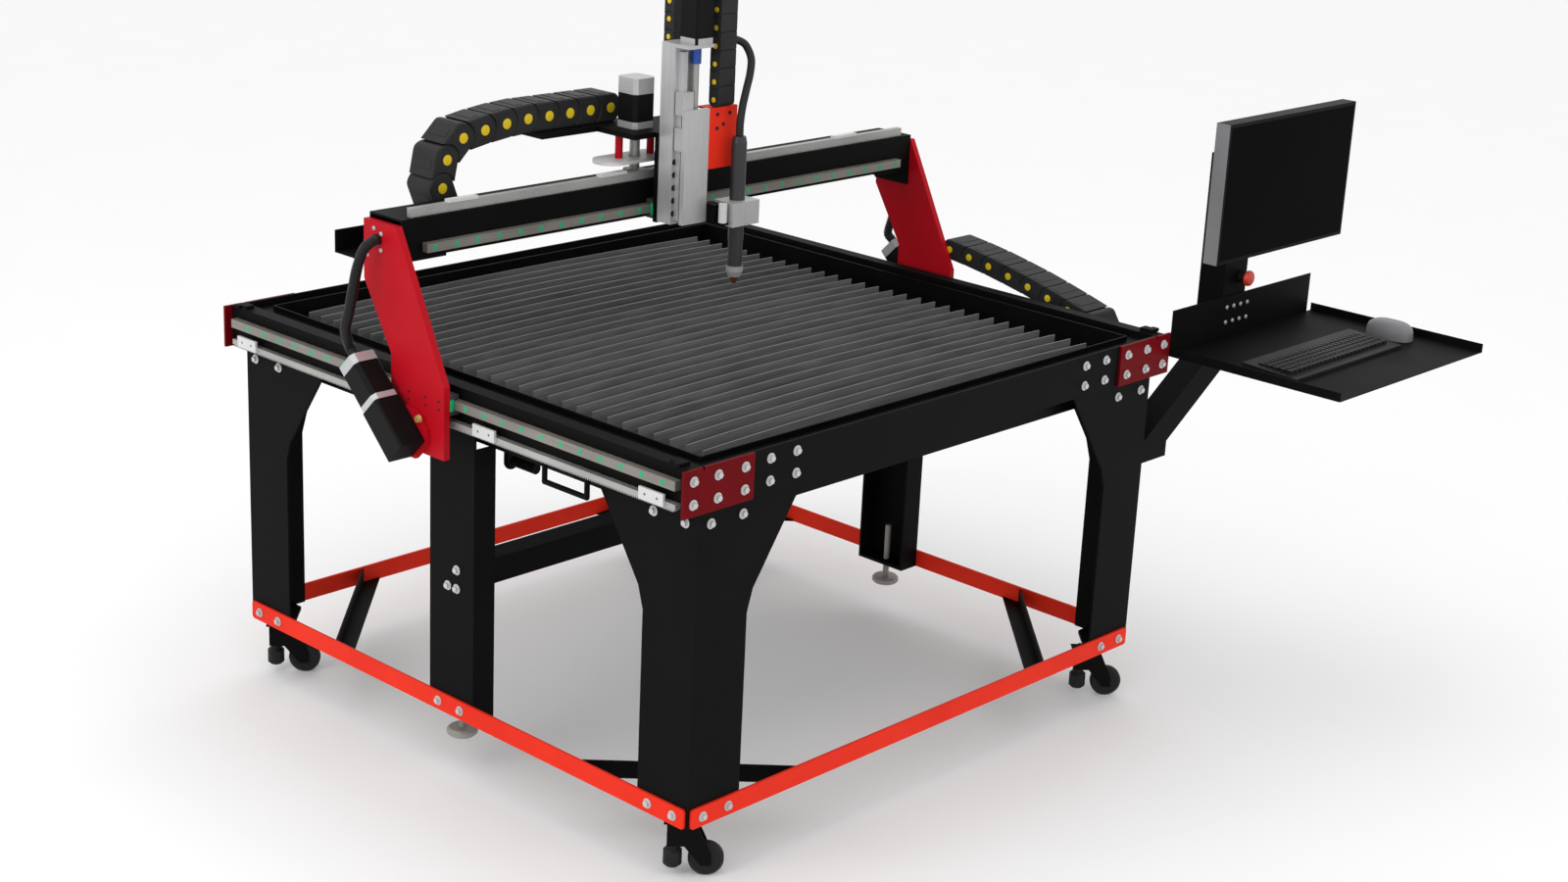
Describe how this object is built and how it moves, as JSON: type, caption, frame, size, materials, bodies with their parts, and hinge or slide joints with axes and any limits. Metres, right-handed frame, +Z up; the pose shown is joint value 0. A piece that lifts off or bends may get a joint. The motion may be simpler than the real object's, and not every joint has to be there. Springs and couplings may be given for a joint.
{
  "type": "cnc plasma table",
  "caption": "Plasma cutting table on casters with a slatted water pan, a rack-driven gantry carrying a torch lift, drag chains and a side tray with a monitor.",
  "frame": {"origin": "on the floor, under the middle of the plan outline", "axes": "+X along the front of the table to the operator station, +Y from the front to the back, +Z up"},
  "size_m": [2.401, 2.011, 1.861],
  "materials": {
    "frame_black": "textured satin",
    "pan_black": "satin",
    "slat_steel": "mill scale",
    "bright_red": "satin",
    "dark_red": "satin",
    "rail_steel": "ground",
    "zinc": "satin",
    "monitor_black": "satin",
    "key_black": "matte",
    "button_red": "gloss",
    "block_steel": "ground",
    "motor_silver": "satin",
    "aluminium": "satin",
    "motor_black": "satin",
    "torch_body": "matte",
    "chain_black": "matte",
    "cord_black": "matte",
    "wheel_rubber": "matte"
  },
  "bodies": {
    "table": {"corner_legs": "frame_black", "middle_legs": "frame_black", "aprons": "frame_black", "side_beams": "frame_black", "water_pan": "pan_black", "slats": "slat_steel", "stretchers": "bright_red", "floor_braces": "frame_black", "y_rails": "rail_steel", "y_racks": "rail_steel", "corner_plates": "dark_red", "frame_bolts": "zinc", "pull_handle": "frame_black", "station_arm": "frame_black", "tray": "frame_black", "monitor_post": "frame_black", "monitor": "monitor_black", "keyboard_and_mouse": "key_black", "y_chain": "chain_black"},
    "estop": {"estop_button": "button_red"},
    "foot_left": {"levelling_foot_left": "zinc"},
    "foot_right": {"levelling_foot_right": "zinc"},
    "gantry": {"gantry_beam": "frame_black", "gantry_plates": "dark_red", "x_rail": "rail_steel", "x_rack": "rail_steel", "y_bearing_blocks": "block_steel", "y_motors": "motor_silver", "y_motor_plates": "dark_red", "x_chain": "chain_black", "motor_conduits": "chain_black"},
    "pinion_left": {"y_pinion_left": "block_steel"},
    "pinion_right": {"y_pinion_right": "block_steel"},
    "carriage": {"carriage_plate": "frame_black", "x_bearing_blocks": "block_steel", "x_motor_plate": "frame_black", "x_motor": "motor_silver", "z_channel": "aluminium", "z_motor": "motor_black", "z_chain": "chain_black"},
    "pinion_cross": {"x_pinion": "block_steel"},
    "screw": {"z_screw": "block_steel"},
    "lift": {"z_plate": "aluminium", "z_bearing_blocks": "block_steel", "chain_bracket": "bright_red", "torch_clamp": "aluminium", "torch": "torch_body", "torch_lead": "cord_black"},
    "swivel_front_left": {"caster_fork_front_left": "frame_black"},
    "roller_front_left": {"caster_wheel_front_left": "wheel_rubber"},
    "pad_front_left": {"caster_pad_front_left": "key_black"},
    "swivel_front_right": {"caster_fork_front_right": "frame_black"},
    "roller_front_right": {"caster_wheel_front_right": "wheel_rubber"},
    "pad_front_right": {"caster_pad_front_right": "key_black"},
    "swivel_back_left": {"caster_fork_back_left": "frame_black"},
    "roller_back_left": {"caster_wheel_back_left": "wheel_rubber"},
    "pad_back_left": {"caster_pad_back_left": "key_black"},
    "swivel_back_right": {"caster_fork_back_right": "frame_black"},
    "roller_back_right": {"caster_wheel_back_right": "wheel_rubber"},
    "pad_back_right": {"caster_pad_back_right": "key_black"}
  },
  "joints": [
    {"name": "gantry_y", "type": "slide", "parent": "table", "child": "gantry", "axis": [0, 1, 0], "range_m": [-0.59, 0.605], "deforming": ["y_chain"]},
    {"name": "pinion_left_spin", "type": "hinge", "parent": "gantry", "child": "pinion_left", "pos_m": [-1.1035, 0.2615, 0.8169], "axis": [1, 0, 0], "continuous": true},
    {"name": "pinion_right_spin", "type": "hinge", "parent": "gantry", "child": "pinion_right", "pos_m": [0.5365, 0.2615, 0.8169], "axis": [1, 0, 0], "continuous": true},
    {"name": "carriage_x", "type": "slide", "parent": "gantry", "child": "carriage", "axis": [1, 0, 0], "range_m": [-0.57, 0.72], "deforming": ["x_chain"]},
    {"name": "pinion_cross_spin", "type": "hinge", "parent": "carriage", "child": "pinion_cross", "pos_m": [-0.3935, 0.3661, 1.275], "axis": [0, 0, 1], "continuous": true},
    {"name": "torch_z", "type": "slide", "parent": "carriage", "child": "lift", "axis": [0, 0, 1], "range_m": [-0.115, 0.02], "deforming": ["z_chain"]},
    {"name": "screw_spin", "type": "hinge", "parent": "carriage", "child": "screw", "pos_m": [-0.3495, 0.2195, 1.4], "axis": [0, 0, 1], "continuous": true},
    {"name": "estop_press", "type": "slide", "parent": "table", "child": "estop", "axis": [0, 1, 0], "range_m": [0, 0.006], "stiffness_N_per_m": 800},
    {"name": "foot_left_screw", "type": "slide", "parent": "table", "child": "foot_left", "axis": [0, 0, 1], "range_m": [-0.078, 0.03]},
    {"name": "foot_right_screw", "type": "slide", "parent": "table", "child": "foot_right", "axis": [0, 0, 1], "range_m": [-0.078, 0.03]},
    {"name": "swivel_front_left", "type": "hinge", "parent": "table", "child": "swivel_front_left", "pos_m": [-0.9855, -0.4675, 0.132], "axis": [0, 0, 1], "continuous": true},
    {"name": "roll_front_left", "type": "hinge", "parent": "swivel_front_left", "child": "roller_front_left", "pos_m": [-0.9558, -0.4972, 0.038], "axis": [0.7071, 0.7071, 0], "continuous": true},
    {"name": "pad_front_left_screw", "type": "slide", "parent": "swivel_front_left", "child": "pad_front_left", "axis": [0, 0, 1], "range_m": [-0.014, 0.004]},
    {"name": "swivel_front_right", "type": "hinge", "parent": "table", "child": "swivel_front_right", "pos_m": [0.4185, -0.4675, 0.132], "axis": [0, 0, 1], "continuous": true},
    {"name": "roll_front_right", "type": "hinge", "parent": "swivel_front_right", "child": "roller_front_right", "pos_m": [0.4482, -0.4972, 0.038], "axis": [0.7071, 0.7071, 0], "continuous": true},
    {"name": "pad_front_right_screw", "type": "slide", "parent": "swivel_front_right", "child": "pad_front_right", "axis": [0, 0, 1], "range_m": [-0.014, 0.004]},
    {"name": "swivel_back_left", "type": "hinge", "parent": "table", "child": "swivel_back_left", "pos_m": [-0.9855, 0.9285, 0.132], "axis": [0, 0, 1], "continuous": true},
    {"name": "roll_back_left", "type": "hinge", "parent": "swivel_back_left", "child": "roller_back_left", "pos_m": [-0.9558, 0.8988, 0.038], "axis": [0.7071, 0.7071, 0], "continuous": true},
    {"name": "pad_back_left_screw", "type": "slide", "parent": "swivel_back_left", "child": "pad_back_left", "axis": [0, 0, 1], "range_m": [-0.014, 0.004]},
    {"name": "swivel_back_right", "type": "hinge", "parent": "table", "child": "swivel_back_right", "pos_m": [0.4185, 0.9285, 0.132], "axis": [0, 0, 1], "continuous": true},
    {"name": "roll_back_right", "type": "hinge", "parent": "swivel_back_right", "child": "roller_back_right", "pos_m": [0.4482, 0.8988, 0.038], "axis": [0.7071, 0.7071, 0], "continuous": true},
    {"name": "pad_back_right_screw", "type": "slide", "parent": "swivel_back_right", "child": "pad_back_right", "axis": [0, 0, 1], "range_m": [-0.014, 0.004]}
  ],
  "couplings": [
    {"joint": "pinion_left_spin", "follows": "gantry_y", "rad_per_m": 41.667},
    {"joint": "pinion_right_spin", "follows": "gantry_y", "rad_per_m": 41.667},
    {"joint": "pinion_cross_spin", "follows": "carriage_x", "rad_per_m": -41.667},
    {"joint": "screw_spin", "follows": "torch_z", "rad_per_m": 628.32}
  ]
}
